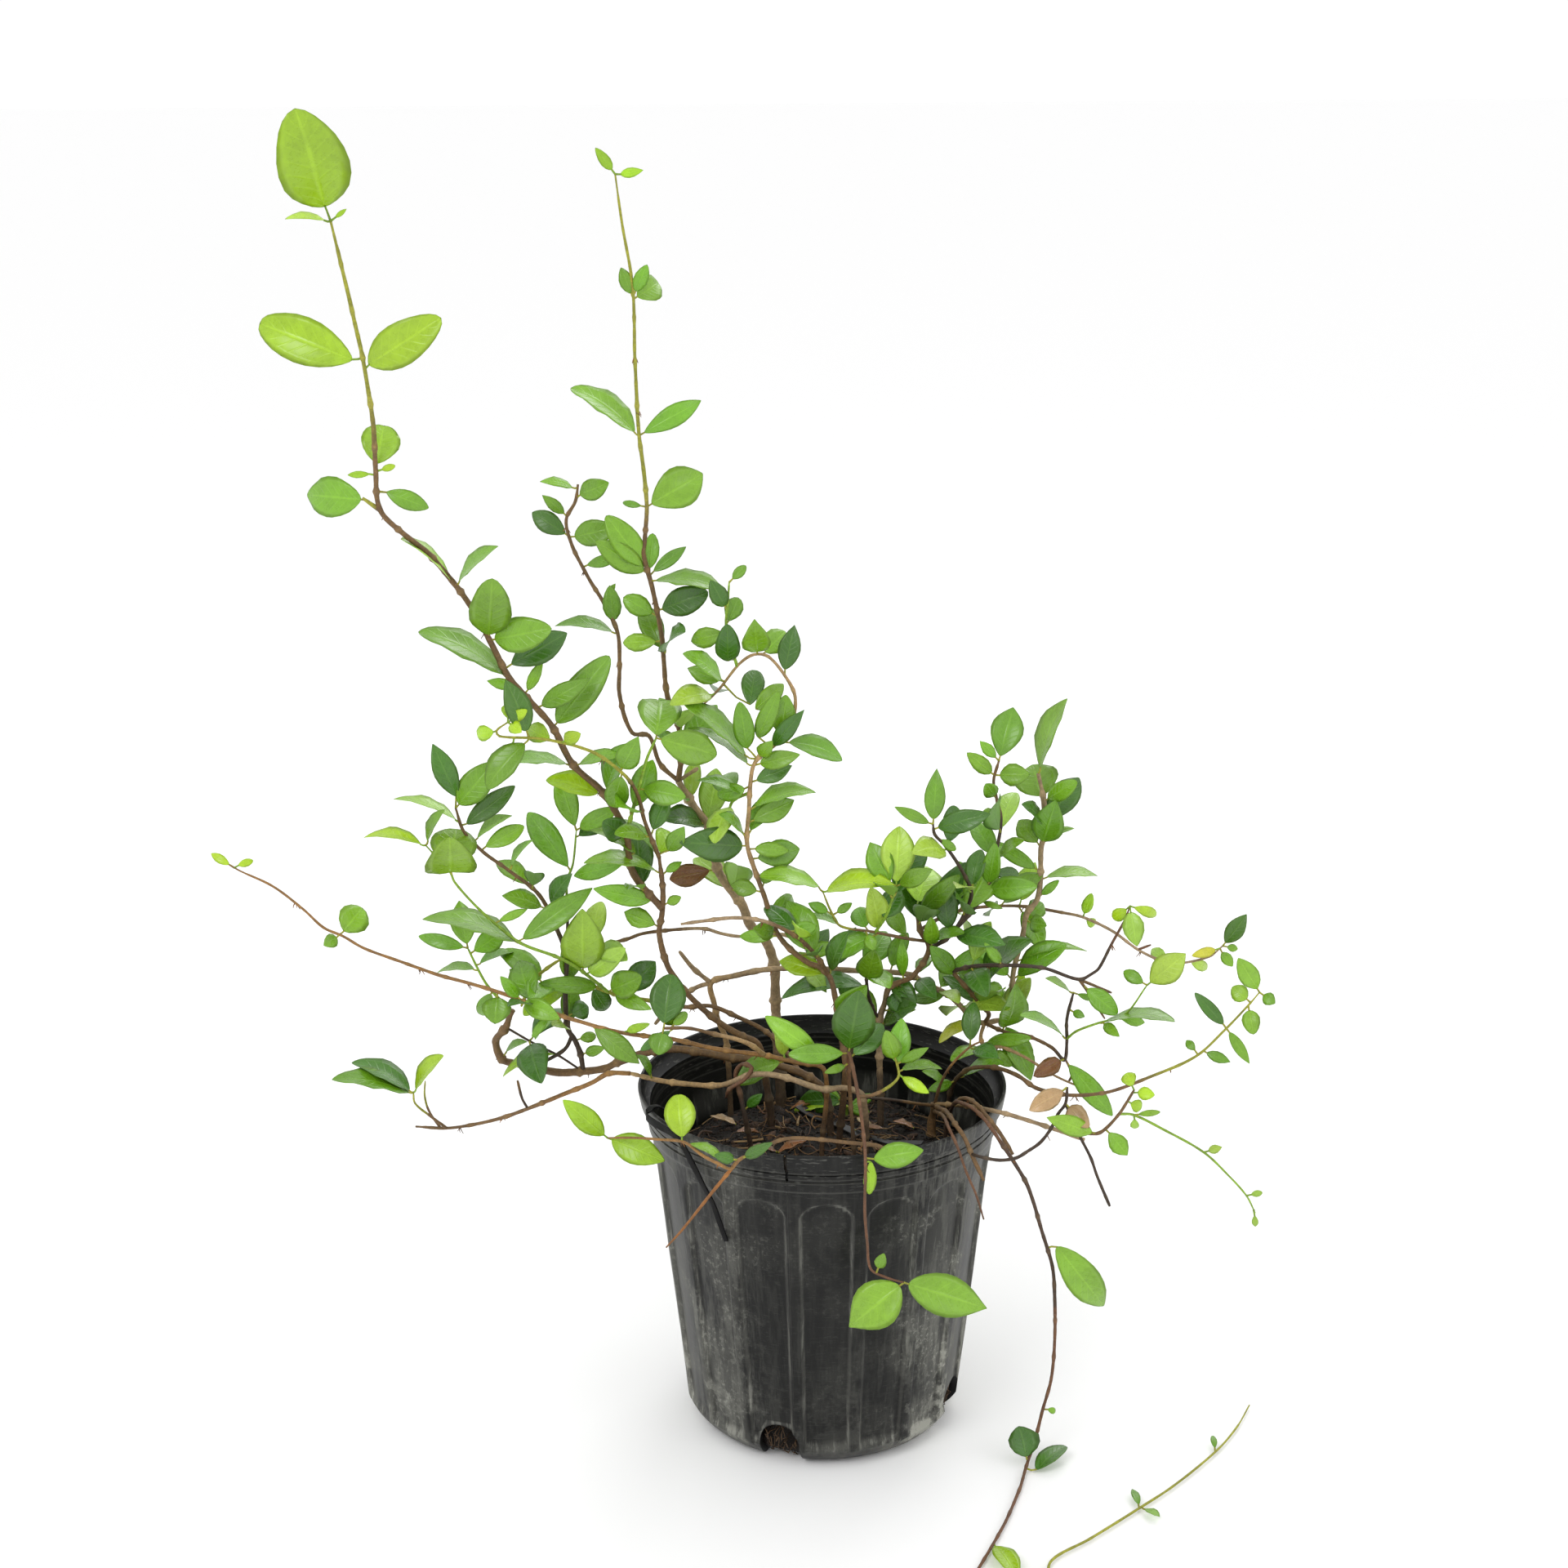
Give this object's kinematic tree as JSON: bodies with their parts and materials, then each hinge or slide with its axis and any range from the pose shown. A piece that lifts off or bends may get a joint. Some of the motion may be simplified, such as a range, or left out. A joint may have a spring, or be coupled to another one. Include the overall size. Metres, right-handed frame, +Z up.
{
  "type": "potted Asiatic jasmine",
  "caption": "Young Asiatic jasmine vine in a fluted black nursery can: wiry leafy stems climb, arch and trail over the rim from bark soil",
  "frame": {"origin": "centre of the can's flat base, on the ground", "axes": "+Z up; the front of the picture, with the slit in the rim and the leaf over it, faces -Y; +X to the right of the picture"},
  "size_m": [0.49, 0.3036, 0.603],
  "materials": {
    "can": "thin black blow-moulded plastic, satin, dusty, with pale mineral streaks on the ribs",
    "soil": "dark damp peat and pine bark",
    "vine": "small leathery leaves, bright green when young and dark when old, on thin brown and green woody stems",
    "tie": "soft black plastic tie strip"
  },
  "bodies": {
    "root": {"pot": "can", "soil": "soil", "stem_leader": "vine", "stem_spire": "vine", "stem_loop": "vine", "stem_west": "vine", "stem_west_runner": "vine", "stem_west_low": "vine", "stem_bush": "vine", "stem_crown_right": "vine", "stem_east_long": "vine", "stem_floor_runner": "vine", "stem_front": "vine", "stem_front_left": "vine", "sprout": "vine", "stem_back": "vine", "strip_front": "tie", "strip_left": "tie"}
  },
  "joints": []
}
